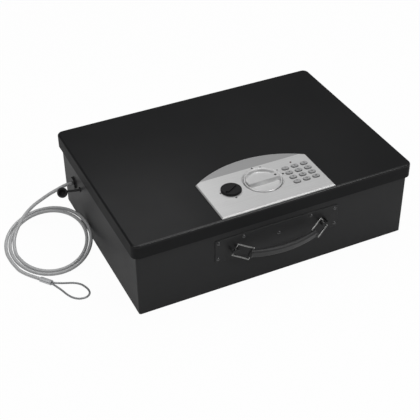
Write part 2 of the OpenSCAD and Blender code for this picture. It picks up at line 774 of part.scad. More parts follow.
module lock_cover() {
    wing = 13;
    color("#55585b") difference() {
        union() {
            block([-works_w / 2, works_w / 2], [works_front, works_back], [works_z, under]);
            block([-works_w / 2 - wing, works_w / 2 + wing], [works_front, works_back],
                  [under - sheet, under]);
        }
        block([-works_w / 2 + sheet, works_w / 2 - sheet], [works_front + sheet, works_back - sheet],
              [works_z + sheet, under + 1]);
        for (s = [-1, 1])
            along_y(works_front - 1, works_front + sheet + 1, s * bolt_x, bolt_z, bolt_r + 2 + FIT);
        for (p = cover_studs) post(p, under - 5, under + 1, stud_r + FIT);
    }
}

module bolt_bushes() {
    color("#d9d9d4") for (s = [-1, 1]) difference() {
        union() {
            along_y(works_front - 1.5, works_front, s * bolt_x, bolt_z, bolt_r + 4);
            along_y(works_front, works_front + bush_len, s * bolt_x, bolt_z, bolt_r + 2);
        }
        along_y(works_front - 3, works_front + bush_len + 1, s * bolt_x, bolt_z, bolt_r + FIT);
    }
}

module solenoid_coil() {
    color("#8a6a3a") difference() {
        block([solenoid_x, solenoid_x + solenoid_size[0]],
              [plunger_y - solenoid_size[1] / 2, plunger_y + solenoid_size[1] / 2],
              [works_z + sheet, works_z + sheet + solenoid_size[2]]);
        along_x(solenoid_x - 1, solenoid_x + solenoid_size[0] + 1, plunger_y, bolt_z, 3 + FIT);
    }
}

module solenoid_plunger() {
    face = solenoid_x + solenoid_size[0];
    color("#c9ccd0") {
        along_x(solenoid_x - plunger_travel - 4, solenoid_x - plunger_travel - 2, plunger_y, bolt_z, 4.5);
        along_x(solenoid_x - plunger_travel - 2, face + 1, plunger_y, bolt_z, 3);
        along_x(face, tongue_x - 0.5, plunger_y, bolt_z, 2);
    }
}

module battery_box() {
    ear = 10;
    y1 = box_front + box_d;
    color("#232527") difference() {
        union() {
            block([-box_w / 2, box_w / 2], [box_front, y1], [box_z, under]);
            block([-box_w / 2 - ear, box_w / 2 + ear], [box_front + box_d / 2 - 8, box_front + box_d / 2 + 8],
                  [under - box_wall, under]);
            for (s = [-1, 1]) block([s * (box_w / 2 - 4) - 3, s * (box_w / 2 - 4) + 3], [y1 - 1, door_y + 2.4],
                                    [door_z - 2.4, box_z + 5]);
        }
        block([-box_w / 2 + box_wall, box_w / 2 - box_wall], [box_front + box_wall, y1 - box_wall],
              [box_z - 5, under - box_wall]);
        along_x(-box_w, box_w, door_y, door_z, 1 + FIT);
        for (p = box_studs) post(p, under - 5, under + 1, stud_r + FIT);
    }
}

module batteries() {
    pitch = 2 * cell_r + 0.4;
    z = under - box_wall - cell_r;
    y0 = box_front + box_wall + 1.5;
    color("#b08a3c") for (i = [0:3]) translate([(i - 1.5) * pitch, 0, 0]) {
        along_y(y0, y0 + cell_len - 1, 0, z, cell_r);
        along_y(y0 + cell_len - 1, y0 + cell_len, 0, z, 2.7);
    }
}

module battery_door() {
    inner = box_w - 16;
    color("#232527") {
        for (part = [[box_w / 2, box_front, box_front + box_d - 2.5],
                     [inner / 2, box_front + box_d - 3, door_y]])
            block([-part[0], part[0]], [part[1], part[2]], [box_z - SEAT - door_t, box_z - SEAT]);
        along_x(-inner / 2, inner / 2, door_y, door_z, 1.9);
        along_x(-box_w / 2 + 1, box_w / 2 - 1, door_y, door_z, 1);
    }
}

// The knob and the bolts that it throws

module knob_dial() {
    r = knob_d / 2;
    rim_z = plate_top + rim_up - knob_z;
    top_z = plate_top + bar_up - knob_z;
    color("#c9ccd0") translate([knob_x, knob_y, knob_z]) difference() {
        union() {
            rotate_extrude() polygon([[0, 0], [r, 0], [r, rim_z - knob_edge], [r - knob_edge, rim_z],
                                      [r - knob_rim, rim_z], [r - knob_rim - dish_slope, knob_floor],
                                      [0, knob_floor]]);
            intersection() {
                rotate([90, 0, 90]) linear_extrude(2 * r, center = true)
                    polygon([[-bar_w / 2 - bar_spread, knob_floor - 0.5], [-bar_w / 2, top_z],
                             [bar_w / 2, top_z], [bar_w / 2 + bar_spread, knob_floor - 0.5]]);
                cylinder(h = top_z, r = r - knob_rim - dish_slope / 2);
            }
        }
        translate([0, 0, -1]) cylinder(h = knob_bore + 1, r = spindle_r + 0.02);
    }
}

module knob_spindle() {
    color("#a8abae") post([knob_x, knob_y], cam_z - 0.8, knob_z + knob_bore - 0.2, spindle_r);
}

module drive_disc() {
    a = 135;
    color("#8d9093") {
        difference() {
            post([knob_x, knob_y], cam_z, cam_z + cam_t, crank_r + 4);
            post([knob_x, knob_y], cam_z - 1, cam_z + cam_t + 1, spindle_r + 0.02);
        }
        post([knob_x + crank_r * cos(a), knob_y + crank_r * sin(a)], bar_z - 0.5, cam_z, crank_pin_r);
    }
}

module spindle_clip() {
    z = under - chassis_t - 2 - SEAT;
    color("#77797c") difference() {
        post([knob_x, knob_y], z - 1.2, z, spindle_r + 3);
        post([knob_x, knob_y], z - 3, z + 1, spindle_r + 0.02);
    }
}

module bolt_bar() {
    slot = crank_pin_r + 0.35;
    lap = 2;
    color("#8d9093") difference() {
        union() {
            block([-bolt_x - bar_past, bolt_x + bar_past], [bar_front, bar_front + bar_d],
                  [bar_z, bar_z + bar_t]);
            block([tongue_x, web_right], [bar_front + bar_d - lap, web_back], [bar_z, bar_z + bar_t]);
            block([tongue_x, tongue_x + tongue_w], [web_back - lap, tongue_end], [bar_z, bar_z + bar_t]);
            for (s = [-1, 1]) block([s * bolt_x - 7, s * bolt_x + 7], [bar_front, bar_front + tab_t],
                                    [bolt_z - bolt_r, bolt_z + bolt_r + 0.5]);
        }
        for (s = [-1, 1]) along_y(bar_front - 1, bar_front + bar_d + 1, s * bolt_x, bolt_z, tenon_r + FIT);
        block([knob_x - crank_r - slot - 1, knob_x + crank_r * cos(135) + slot + 1],
              [slot_y - slot, slot_y + slot], [bar_z - 1, bar_z + bar_t + 1]);
        for (y = [plunger_y, plunger_y + bolt_travel])
            block([tongue_x - 1, tongue_x + notch_deep], [y - 2.5, y + 2.5], [bar_z - 1, bar_z + bar_t + 1]);
    }
}

module lock_bolts() {
    color("#c9ccd0") for (s = [-1, 1]) {
        along_y(bolt_tip, bar_front, s * bolt_x, bolt_z, bolt_r);
        along_y(bar_front, bar_front + tab_t, s * bolt_x, bolt_z, tenon_r);
    }
}

// The key lock

module key_plug() {
    color("#c9ccd0") difference() {
        union() {
            post([lock_x, lock_y], cam_z + 2, plate_top + 1.2, plug_r);
            translate([lock_x, lock_y, cam_z]) linear_extrude(2) {
                circle(plug_r);
                translate([-4, 0]) square([8, cam_reach]);
            }
        }
        block([lock_x - 1.2, lock_x + 1.2], [lock_y - 4, lock_y + 4], [plate_top - 8, plate_top + 2]);
    }
}

module key_cover() {
    z0 = plate_top + SEAT;
    color("#17181a") translate([lock_x, lock_y, z0]) difference() {
        union() {
            cylinder(h = cover_t - 0.8, r = cover_d / 2);
            cylinder(h = cover_t, r = cover_d / 2 - 1);
            rotate([0, 0, 29]) translate([-10, -2, cover_t - 0.5]) cube([20, 4, 1.9]);
        }
        translate([0, 0, -1]) cylinder(h = 2.4, r = cylinder_r + FIT);
        rotate([0, 0, 209]) translate([cover_d / 2 - 3.6, -1.1, cover_t - 0.8]) cube([5, 2.2, 2]);
    }
}

// The keys: column c from the left, row r from the back

module key(i) {
    c = i % 3;
    r = floor(i / 3);
    color("#94989b") translate([key_x[c], key_y[r], under]) {
        linear_extrude(key_foot) pill(key_w + 1.6, key_d + 1.6);
        linear_extrude(sheet + plate_t + key_up - 0.6) pill(key_w, key_d);
        linear_extrude(sheet + plate_t + key_up) pill(key_w - 1.2, key_d - 1.2);
    }
}

case_shell();
floor_mat();
strike_plate();
handle_backplate();
handle_rivets();
handle_clips();
hinge_leaf_case();
hinge_pins();
hinge_rivets_case();
cable_bush();
cable_stop();
stop_washer();
hole_plug();
cable_lead();
cable_coil();
cable_tail();
cable_ferrule();
cable_end_loop();
lid_shell();
hinge_leaf_lid();
hinge_rivets_lid();
fascia_plate();
fascia_band();
spindle_bush();
lock_cylinder();
keypad_mat();
circuit_board();
status_led();
lock_chassis();
lid_nuts();
lock_cover();
bolt_bushes();
solenoid_coil();
battery_box();
batteries();
battery_door();
knob_dial();
knob_spindle();
drive_disc();
spindle_clip();
bolt_bar();
lock_bolts();
solenoid_plunger();
key_plug();
key_cover();
handle_grip();
handle_loops();
key(0);  // key_1
key(1);  // key_2
key(2);  // key_3
key(3);  // key_4
key(4);  // key_5
key(5);  // key_6
key(6);  // key_7
key(7);  // key_8
key(8);  // key_9
key(9);  // key_10
key(10);  // key_11
key(11);  // key_12
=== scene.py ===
import math

import bpy
from mathutils import Matrix, Vector


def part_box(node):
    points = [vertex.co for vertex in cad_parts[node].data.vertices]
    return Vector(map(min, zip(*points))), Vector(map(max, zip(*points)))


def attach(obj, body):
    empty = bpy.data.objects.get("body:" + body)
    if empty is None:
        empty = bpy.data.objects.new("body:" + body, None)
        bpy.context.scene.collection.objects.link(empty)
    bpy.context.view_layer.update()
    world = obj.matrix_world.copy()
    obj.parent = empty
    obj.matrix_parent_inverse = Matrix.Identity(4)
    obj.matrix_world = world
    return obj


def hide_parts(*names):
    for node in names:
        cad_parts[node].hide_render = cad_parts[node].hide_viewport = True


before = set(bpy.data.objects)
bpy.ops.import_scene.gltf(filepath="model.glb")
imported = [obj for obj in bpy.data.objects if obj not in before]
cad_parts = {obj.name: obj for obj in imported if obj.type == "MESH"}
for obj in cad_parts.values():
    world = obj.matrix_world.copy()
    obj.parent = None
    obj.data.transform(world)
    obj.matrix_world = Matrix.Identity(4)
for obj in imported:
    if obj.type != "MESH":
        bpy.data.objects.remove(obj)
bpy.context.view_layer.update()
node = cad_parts

# ---- Camera
# The view of the photograph, from in front of the left corner and above.
# A long lens, fitted to the straight edges of the lid and the case.
camera = bpy.data.objects.new("camera", bpy.data.cameras.new("camera"))
bpy.context.scene.collection.objects.link(camera)
bpy.context.scene.camera = camera
yaw, down, roll = math.radians(25.057), math.radians(37.135), math.radians(-0.755)
ahead = Vector((math.sin(yaw) * math.cos(down), math.cos(yaw) * math.cos(down), -math.sin(down)))
level = Vector((math.cos(yaw), -math.sin(yaw), 0))
right = math.cos(roll) * level + math.sin(roll) * level.cross(ahead)
above = right.cross(ahead)
turn = Matrix((right, above, -ahead)).transposed().to_4x4()
camera.matrix_world = Matrix.Translation((-0.559574, -1.124129, 0.958428)) @ turn
camera.data.lens = 86.25
camera.data.sensor_width = 36
camera.data.clip_end = 20

# ---- Security cable
# Galvanised strand of 5.2 mm in clear vinyl. It is stopped inside the left wall, drops to the floor, lies in two
# oval turns that lean on the wall, and ends in a pressed sleeve. The lay of the strand shows through the vinyl.
CABLE_D = 5.2
STRANDS = 6
LAY_PITCH = 0.0062


class Val:
    """One socket of a finish, which takes Python's arithmetic."""

    def __init__(self, finish, socket):
        self.finish, self.socket = finish, socket

    def maths(self, operation, *values):
        return self.finish.add("ShaderNodeMath", {"operation": operation}, dict(enumerate(values)))

    def __add__(self, other): return self.maths("ADD", self, other)
    def __radd__(self, other): return self.maths("ADD", other, self)
    def __sub__(self, other): return self.maths("SUBTRACT", self, other)
    def __rsub__(self, other): return self.maths("SUBTRACT", other, self)
    def __mul__(self, other): return self.maths("MULTIPLY", self, other)
    def __rmul__(self, other): return self.maths("MULTIPLY", other, self)
    def __truediv__(self, other): return self.maths("DIVIDE", self, other)
    def __pow__(self, other): return self.maths("POWER", self, other)


class Finish:
    """A material: its fixed values go on the shader, and what varies is wired in with wire()."""

    def __init__(self, name, **fixed):
        self.material = bpy.data.materials.new(name)
        self.material.use_nodes = True
        self.nodes = self.material.node_tree.nodes
        self.shader = self.nodes["Principled BSDF"]
        for socket, value in fixed.items():
            self.shader.inputs[socket.replace("_", " ")].default_value = value
        self.place = self.add("ShaderNodeTexCoord", {}, {}, "Object")

    def add(self, kind, settings=None, values=None, out=0):
        made = self.nodes.new(kind)
        for name, value in (settings or {}).items():
            if name == "stops":
                ramp = made.color_ramp.elements
                while len(ramp) < len(value):
                    ramp.new(0.5)
                for stop, (at, shade) in zip(ramp, value):
                    stop.position, stop.color = at, (*shade, 1)
            else:
                setattr(made, name, value)
        for name, value in (values or {}).items():
            if isinstance(value, Val):
                self.material.node_tree.links.new(value.socket, made.inputs[name])
            else:
                made.inputs[name].default_value = value
        return Val(self, made.outputs[out])

    def noise(self, scale, detail=3, rough=0.55, place=None):
        return self.add("ShaderNodeTexNoise", {}, {"Vector": place or self.place, "Scale": scale, "Detail": detail,
                                                   "Roughness": rough}, "Fac")

    def stretched(self, x, y, z):
        return self.add("ShaderNodeVectorMath", {"operation": "MULTIPLY"}, {0: self.place, 1: (x, y, z)})

    def part(self, axis):
        return self.add("ShaderNodeSeparateXYZ", {}, {0: self.place}, "XYZ".index(axis))

    def between(self, value, low, high, to_low=0.0, to_high=1.0):
        return self.add("ShaderNodeMapRange", {}, {"Value": value, "From Min": low, "From Max": high,
                                                   "To Min": to_low, "To Max": to_high})

    def shade(self, amount, first, second):
        return self.add("ShaderNodeMix", {"data_type": "RGBA"}, {0: amount, 6: (*first, 1), 7: (*second, 1)}, 2)

    def wire(self, **varied):
        for socket, value in varied.items():
            self.material.node_tree.links.new(value.socket, self.shader.inputs[socket.replace("_", " ")])
        return self

    def bumps(self, height, depth, strength=1.0):
        normal = self.add("ShaderNodeBump", {}, {"Height": height, "Distance": depth, "Strength": strength})
        return self.wire(Normal=normal)

    def on(self, *things):
        for thing in things:
            mesh = (node[thing] if isinstance(thing, str) else thing).data
            mesh.materials.clear()
            mesh.materials.append(self.material)
        return self


def milli(points):
    return [Vector(p) / 1000 for p in points]


def rounded_route(points, parts):
    """Points along a smooth curve through the given ones."""
    ends = [2 * points[0] - points[1], *points, 2 * points[-1] - points[-2]]
    route = []
    for a, b, c, d in zip(ends, ends[1:], ends[2:], ends[3:]):
        for k in range(parts):
            t = k / parts
            route.append(0.5 * (2 * b + (c - a) * t + (2 * a - 5 * b + 4 * c - d) * t * t
                                + (3 * b - a - 3 * c + d) * t ** 3))
    return route + [points[-1]]


def route_length(route):
    return sum((b - a).length for a, b in zip(route, route[1:]))


def piece(name, corners, faces, body, smooth=True):
    mesh = bpy.data.meshes.new(name)
    mesh.from_pydata([tuple(c) for c in corners], [], faces)
    mesh.polygons.foreach_set("use_smooth", [smooth] * len(faces))
    mesh.update()
    made = bpy.data.objects.new(name, mesh)
    bpy.context.scene.collection.objects.link(made)
    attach(made, body)
    return made


def swept(name, route, radius, sides, body):
    """A tube along a route, with its ends closed. radius is in metres, or gives one for a side and a distance."""
    corners, far, along = [], [0.0], (route[1] - route[0]).normalized()
    side = along.cross(Vector((0, 0, 1))).normalized()
    for a, b in zip(route, route[1:]):
        far.append(far[-1] + (b - a).length)
    for i, at in enumerate(route):
        ahead = (route[min(i + 1, len(route) - 1)] - route[max(i - 1, 0)]).normalized()
        side = (side - ahead * side.dot(ahead)).normalized()
        up = side.cross(ahead)
        for k in range(sides):
            angle = 2 * math.pi * k / sides
            size = radius(k / sides, far[i]) if callable(radius) else radius
            corners.append(at + size * (math.cos(angle) * side + math.sin(angle) * up))
    faces, around = [], []
    for i in range(len(route) - 1):
        for k in range(sides):
            n = (k + 1) % sides
            faces.append((i * sides + k, i * sides + n, (i + 1) * sides + n, (i + 1) * sides + k))
            around += [(k / sides, far[i]), ((k + 1) / sides, far[i]),
                       ((k + 1) / sides, far[i + 1]), (k / sides, far[i + 1])]
    last = (len(route) - 1) * sides
    faces += [tuple(range(sides - 1, -1, -1)), tuple(range(last, last + sides))]
    around += [(0.5, 0.0)] * sides + [(0.5, far[-1])] * sides
    made = piece(name, corners, faces, body)
    lay = made.data.uv_layers.new(name="lay")
    for loop, uv in zip(lay.data, around):
        loop.uv = uv
    return made


lead = milli([(-217.8, 105, 61), (-225.8, 105, 61), (-234, 105.5, 59), (-244, 107, 54.5), (-255, 108.5, 49.5),
              (-266.5, 109.5, 43.5), (-277.5, 110.2, 37.5), (-287, 109.3, 31.8), (-295.3, 106.3, 27.2),
              (-302.7, 102, 23), (-309.3, 96.6, 19), (-316, 90, 15), (-321.7, 82.5, 11.3), (-326.3, 73.5, 8),
              (-329.5, 62, 5.2), (-331.3, 48.6, 3.1)])
tail = milli([(-340.5, 23, 2.7), (-338, 11.5, 2.7), (-332.6, 0.5, 2.7), (-325, -10.6, 2.9), (-316, -22.4, 3.3)])
coil = []
COIL_X, COIL_Y = -279, 47.5
HALF_WIDE, HALF_LONG, GROWS = 52, 64, 6.3  # each turn's half widths, and what a turn adds to them
LEAN, RISING = math.radians(4), math.radians(21)  # the oval's own turn, and the way in which it rises
TURNS, PER_TURN, START = 2, 24, 190
LIFT = 18.5
for i in range(TURNS * PER_TURN + 1):
    angle = math.radians(START + 360 * i / PER_TURN) - LEAN
    wide = (HALF_WIDE + GROWS * i / PER_TURN) * math.cos(angle)
    long = (HALF_LONG + GROWS * i / PER_TURN) * math.sin(angle)
    x = wide * math.cos(LEAN) - long * math.sin(LEAN)
    y = wide * math.sin(LEAN) + long * math.cos(LEAN)
    rise = max(0, ((x * math.cos(RISING) + y * math.sin(RISING)) / (HALF_WIDE + GROWS) + 1) / 2)
    coil.append(Vector((COIL_X + x, COIL_Y + y, CABLE_D / 2 + 0.1 + LIFT * rise ** 1.5)) / 1000)
cable_points = lead + coil + tail
cable_route = rounded_route(cable_points, 4)
cable = swept("security_cable", cable_route, CABLE_D / 2000, 20, "case")
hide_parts("cable_lead", "cable_coil", "cable_tail")

vinyl = Finish("clear vinyl over galvanised strand", Metallic=0.1, Roughness=0.4, Coat_Weight=0.4,
               Coat_Roughness=0.15)
lay = vinyl.add("ShaderNodeUVMap", {"uv_map": "lay"}, {})
round_it = vinyl.add("ShaderNodeSeparateXYZ", {}, {0: lay}, 0)
down_it = vinyl.add("ShaderNodeSeparateXYZ", {}, {0: lay}, 1)
turned = (round_it * STRANDS + down_it / LAY_PITCH) * (2 * math.pi)
strands = vinyl.add("ShaderNodeMath", {"operation": "SINE"}, {0: turned})
vinyl.wire(Base_Color=vinyl.shade(vinyl.between(strands, -1, 1), (0.50, 0.505, 0.51), (0.60, 0.605, 0.61)))
vinyl.bumps(strands, 0.00004, 0.25)
vinyl.on(cable)

# ---- End loop and pressed sleeve
# The vinyl is stripped here, and the bare strand of 3 mm goes back into an aluminium sleeve that is pressed
# flat-sided round both ends. The sleeve itself is the part's own solid.
loop_points = milli([(-303, -36.2, 3.3), (-301, -38.5, 3.1), (-296.5, -40.5, 2.4), (-289, -43.5, 1.7),
                     (-275.5, -49.5, 1.6), (-267, -57, 1.6), (-262.7, -66.5, 1.6), (-261.2, -75.5, 1.6),
                     (-263.5, -82.5, 1.6), (-270, -86.5, 1.6), (-279.5, -85, 1.6), (-287, -78.5, 1.6),
                     (-292, -69, 1.6), (-296, -57, 1.7), (-300, -48, 2.4), (-303.7, -40.6, 3.1),
                     (-305.5, -38.2, 3.3)])


def stranded(size, strands, pitch):
    return lambda turn, far: size * (0.93 + 0.07 * math.cos(2 * math.pi * (strands * turn + far / pitch)))


end_loop = swept("end_loop", rounded_route(loop_points, 10), stranded(0.0015, 6, 0.0035), 24, "case")
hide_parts("cable_end_loop")
bare = Finish("bare galvanised strand", Metallic=0.85, Roughness=0.38)
bare.wire(Base_Color=bare.shade(bare.noise(900), (0.24, 0.245, 0.25), (0.42, 0.43, 0.44)))
bare.on(end_loop)
sleeve = Finish("pressed aluminium", Metallic=0.9, Roughness=0.34)
sleeve.wire(Base_Color=sleeve.shade(sleeve.noise(300, 4), (0.55, 0.56, 0.57), (0.74, 0.75, 0.76)))
sleeve.bumps(sleeve.noise(700, 4), 0.0001, 0.6)
sleeve.on("cable_ferrule", "cable_stop")
route_length(cable_route)

# ---- Cable bush and hole plug
# Black moulded rubber. The bush fills the hole in the wall. The cap on its strap closes the hole when the cable is
# taken off, and hangs beside it.


def lathed(name, profile, place, sides, body):
    """A turned piece: profile is a list of radius and height in millimetres, from the axis out and back to it."""
    step = 2 * math.pi / sides
    corners = [place @ (Vector((r * math.cos(step * k), r * math.sin(step * k), h)) / 1000)
               for r, h in profile for k in range(sides)]
    faces = [(i * sides + k, i * sides + (k + 1) % sides, (i + 1) * sides + (k + 1) % sides, (i + 1) * sides + k)
             for i in range(len(profile) - 1) for k in range(sides)]
    made = piece(name, corners, faces, body)
    edge = made.modifiers.new("rounded edges", "BEVEL")
    edge.width, edge.segments, edge.limit_method, edge.angle_limit = 0.0003, 2, "ANGLE", math.radians(50)
    return made


rubber = Finish("black rubber", Roughness=0.55)
rubber.wire(Base_Color=rubber.shade(rubber.noise(120), (0.010, 0.010, 0.011), (0.022, 0.022, 0.023)),
            Roughness=rubber.between(rubber.noise(500), 0.3, 0.7, 0.45, 0.65))
rubber.bumps(rubber.noise(1500), 0.00008, 0.5)
rubber.on("cable_bush")
strap = swept("plug_strap", rounded_route(milli([(-215, 77, 66), (-219.8, 78, 65.6), (-224.8, 80, 65),
                                                 (-229.8, 82, 64.4), (-234.5, 83, 64.4)]), 6),
              lambda turn, far: 0.0017 - 0.0004 * math.cos(4 * math.pi * turn), 16, "case")
cap_place = (Matrix.Translation((-0.241, 0.083, 0.065)) @ Matrix.Rotation(math.radians(-14), 4, "Z")
             @ Matrix.Rotation(math.radians(57), 4, "X"))
cap_profile = [(0.01, -3), (5, -3), (5, 5.6), (5.4, 6), (7.6, 6), (8, 5.6), (8, 3.9), (7.6, 3.5), (6.8, 3.5),
               (6.8, -5.2), (6, -6), (0.01, -6)]
cap = lathed("hole_cap", cap_profile, cap_place, 40, "case")
button = lathed("strap_button", [(4, 0), (4, 1.1), (3.4, 1.6), (0.01, 1.6)],
                Matrix.Translation((-0.2148, 0.077, 0.066)) @ Matrix.Rotation(math.radians(-90), 4, "Y"), 28,
                "case")
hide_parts("hole_plug")
rubber.on(strap, cap, button)

# ---- Case
# Drawn sheet steel of 1.5 mm with a satin black powder coat. The coat has a fine orange peel.
powder = Finish("satin black powder coat", Roughness=0.42, Specular_IOR_Level=0.16)
powder.wire(Base_Color=powder.shade(powder.between(powder.noise(9, 5), 0.3, 0.7), (0.0285, 0.0287, 0.0295),
                                    (0.0320, 0.0323, 0.0331)),
            Roughness=powder.between(powder.noise(25, 3), 0.3, 0.7, 0.42, 0.46))
powder.bumps(powder.noise(900, 2), 0.00003, 0.4)
powder.on("case_shell", "hinge_leaf_case", "hinge_leaf_lid", "lock_cover")

# ---- Floor mat
# A sheet of dark grey closed-cell foam with a felt face, cut a millimetre short of the walls all round.
low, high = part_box("floor_mat")
STEPS_X, STEPS_Y = 80, 56
UNEVEN = 0.00025
corners = []
for j in range(STEPS_Y + 1):
    for i in range(STEPS_X + 1):
        u, v = i / STEPS_X, j / STEPS_Y
        sag = UNEVEN * math.sin(40 * u) * math.sin(31 * v)
        corners.append((low.x + (high.x - low.x) * u, low.y + (high.y - low.y) * v, high.z - 0.0003 + sag))
row = STEPS_X + 1
faces = [(j * row + i, j * row + i + 1, (j + 1) * row + i + 1, (j + 1) * row + i)
         for j in range(STEPS_Y) for i in range(STEPS_X)]
mat = piece("floor_foam", corners, faces, "case")
thick = mat.modifiers.new("foam thickness", "SOLIDIFY")
thick.thickness, thick.offset = 0.0026, -1
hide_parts("floor_mat")
felt = Finish("dark grey felt on foam", Roughness=0.95, Sheen_Weight=0.3)
fibres = felt.noise(260, 6, 0.75)
felt.wire(Base_Color=felt.shade(felt.between(fibres, 0.3, 0.7), (0.035, 0.036, 0.04), (0.085, 0.087, 0.092)))
felt.bumps(fibres, 0.0004, 0.8)
felt.on(mat)

# ---- Strike plate, washer and other plated steel
# Plain zinc-plated steel: the bracket behind the front wall, the lock's chassis, bar, disc, nuts and rivets.
zinc = Finish("bright zinc plate", Metallic=0.9, Roughness=0.35)
zinc.wire(Base_Color=zinc.shade(zinc.between(zinc.noise(45, 5), 0.3, 0.7), (0.44, 0.45, 0.47), (0.60, 0.61, 0.62)),
          Roughness=zinc.between(zinc.noise(130, 4), 0.3, 0.7, 0.28, 0.46))
zinc.bumps(zinc.noise(900, 3), 0.00004, 0.4)
zinc.on("strike_plate", "stop_washer", "hinge_pins", "hinge_rivets_case", "hinge_rivets_lid", "lock_chassis",
        "lid_nuts", "bolt_bar", "drive_disc", "spindle_clip", "knob_spindle", "lock_bolts", "solenoid_plunger",
        "lock_cylinder", "key_plug")

# ---- Handle
# A black plate, riveted to the wall, carries two staples. A nickel-plated wire loop hangs in each, and the loops
# hold a moulded grip that bows out from the wall.
plate_black = Finish("black handle plate", Roughness=0.4, Specular_IOR_Level=0.14)
plate_black.wire(Base_Color=plate_black.shade(plate_black.noise(30), (0.0330, 0.0332, 0.0340),
                                              (0.0370, 0.0373, 0.0380)),
                 Roughness=plate_black.between(plate_black.noise(90), 0.3, 0.7, 0.34, 0.46))
plate_black.bumps(plate_black.noise(900), 0.00005, 0.5)
plate_black.on("handle_backplate", "handle_clips")
rivet = Finish("dark plated rivets", Metallic=0.9, Roughness=0.22)
rivet.wire(Base_Color=rivet.shade(rivet.noise(400), (0.07, 0.07, 0.072), (0.12, 0.12, 0.122)))
rivet.on("handle_rivets")
nickel = Finish("bright nickel wire", Metallic=1.0, Roughness=0.14)
nickel.wire(Base_Color=nickel.shade(nickel.noise(200), (0.26, 0.26, 0.256), (0.42, 0.42, 0.415)))
nickel.on("handle_loops")
grip = Finish("moulded black grip", Roughness=0.38, Specular_IOR_Level=0.35)
grip.wire(Base_Color=grip.shade(grip.noise(40), (0.026, 0.026, 0.0268), (0.034, 0.034, 0.0350)),
          Roughness=grip.between(grip.noise(150), 0.3, 0.7, 0.32, 0.44))
grip.bumps(grip.noise(1100), 0.00008, 0.5)
grip.on("handle_grip")

# ---- Lid
# Drawn sheet steel like the case, with rounded edges and a slightly glossier coat, which hands have polished along
# the front edge of its top.
lid_coat = Finish("semi-gloss black powder coat", Roughness=0.36, Specular_IOR_Level=0.14, Coat_Roughness=0.2)
lid_low, lid_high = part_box("lid_shell")
on_top = lid_coat.between(lid_coat.part("Z"), lid_high.z - 0.004, lid_high.z - 0.0015)
flat = lid_coat.between(lid_coat.part("Z"), lid_high.z - 0.0004, lid_high.z - 0.00005)
behind = lid_coat.between(lid_coat.part("Y"), lid_low.y + 0.0035, lid_low.y + 0.007)
rubbed = on_top * (1 - flat) * (1 - behind)
lid_coat.wire(Base_Color=lid_coat.shade(lid_coat.between(lid_coat.noise(7, 5), 0.3, 0.7), (0.0090, 0.0092, 0.0098),
                                        (0.0112, 0.0114, 0.0120)),
              Roughness=lid_coat.between(lid_coat.noise(25, 3), 0.3, 0.7, 0.33, 0.37) + (1 - on_top) * 0.25,
              Coat_Weight=rubbed * 0.7)
lid_coat.bumps(lid_coat.noise(900, 2), 0.00003, 0.4)
lid_coat.on("lid_shell")

# ---- Silver plate on the lid
# A cast plate, brushed along its length and clear-lacquered, with a polished bevel and an arched panel whose
# darker grey is painted shade of its slope towards the back.
PLATE_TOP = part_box("fascia_plate")[1].z
brushed = Finish("brushed silver plate", Metallic=0.45, Roughness=0.38)
grain = brushed.noise(1, 4, 0.7, brushed.stretched(12, 1600, 60))
brushed.wire(Base_Color=brushed.shade(brushed.between(grain, 0.3, 0.7), (0.60, 0.60, 0.60), (0.71, 0.71, 0.71)),
             Roughness=brushed.between(grain, 0.3, 0.7, 0.32, 0.46))
brushed.bumps(grain, 0.00003, 0.4)
brushed.on("fascia_plate")
# Painted shade: the arched panel is coloured a darker grey for the shade on its slope towards the back.
panel = Finish("arched panel in painted shade", Metallic=0.3, Roughness=0.45)
panel.wire(Base_Color=panel.shade(panel.noise(1, 4, 0.7, panel.stretched(12, 1600, 60)), (0.32, 0.32, 0.323),
                                  (0.40, 0.40, 0.403)))
panel.on("fascia_band")

# ---- Marks printed on the plate
# Dark print: a triangle, a dash and two dots round the knob, a dot on it, and two dots by the key lock's cover.
PRINT = 0.00006


def printed(name, outlines, z, body, finish):
    corners, faces = [], []
    for outline in outlines:
        first, count = len(corners), len(outline)
        corners += [(x / 1000, y / 1000, h) for h in (z, z + PRINT) for x, y in outline]
        faces.append(tuple(range(first + count, first + 2 * count)))
        faces += [(first + k, first + (k + 1) % count, first + count + (k + 1) % count, first + count + k)
                  for k in range(count)]
    made = piece(name, corners, faces, body, smooth=False)
    finish.on(made)
    return made


def dot(x, y, r, sides=16):
    angles = [2 * math.pi * k / sides for k in range(sides)]
    return [(x + r * math.cos(angle), y + r * math.sin(angle)) for angle in angles]


ink = Finish("dark print", Roughness=0.5)
ink.wire(Base_Color=ink.shade(ink.noise(500), (0.015, 0.015, 0.016), (0.03, 0.03, 0.032)))
knob_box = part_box("knob_dial")
KNOB_X, KNOB_Y = 500 * (knob_box[0].x + knob_box[1].x), 500 * (knob_box[0].y + knob_box[1].y)
triangle = [(KNOB_X - 3.4, KNOB_Y + 31.0), (KNOB_X + 1.0, KNOB_Y + 30.8), (KNOB_X - 1.0, KNOB_Y + 34.6)]
dash = [(KNOB_X + 9.2, KNOB_Y + 30.3), (KNOB_X + 12.6, KNOB_Y + 29.1), (KNOB_X + 13.0, KNOB_Y + 30.3),
        (KNOB_X + 9.6, KNOB_Y + 31.5)]
dots = [dot(KNOB_X + 32.9, KNOB_Y + 0.9, 1.8), dot(KNOB_X + 29.6, KNOB_Y + 12.6, 1.1), dot(-65.2, -102.2, 1.4),
        dot(-49.6, -120.5, 1.5)]
printed("plate_marks", [triangle, dash, *dots], PLATE_TOP, "lid", ink)
printed("knob_mark", [dot(KNOB_X + 19.7, KNOB_Y, 1.9)], knob_box[1].z, "knob", ink)

